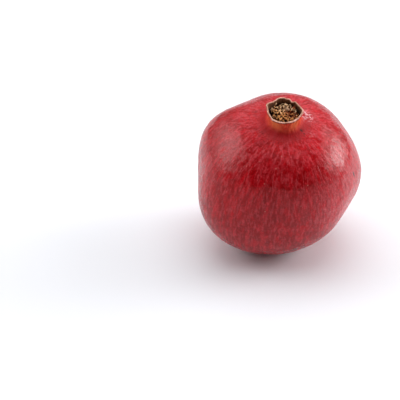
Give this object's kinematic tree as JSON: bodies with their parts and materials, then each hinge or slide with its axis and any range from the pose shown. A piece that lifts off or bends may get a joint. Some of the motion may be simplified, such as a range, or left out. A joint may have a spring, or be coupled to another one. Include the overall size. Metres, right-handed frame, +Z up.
{
  "type": "pomegranate",
  "caption": "Whole ripe pomegranate with a ribbed leathery rind and an open crown full of dried stamens, resting on a small flat spot.",
  "frame": {"origin": "middle of the foot of the bounding box, on the surface that the fruit rests on", "axes": "+Z up; the crown leans forward towards -Y, which is the front; +X to the right seen from the front"},
  "size_m": [0.0956, 0.095, 0.0993],
  "materials": {
    "rind": "waxy leathery rind, mottled deep red",
    "dry_stamens": "dry, matt, golden brown"
  },
  "bodies": {
    "root": {"fruit": "rind", "dried_stamens": "dry_stamens"}
  },
  "joints": []
}
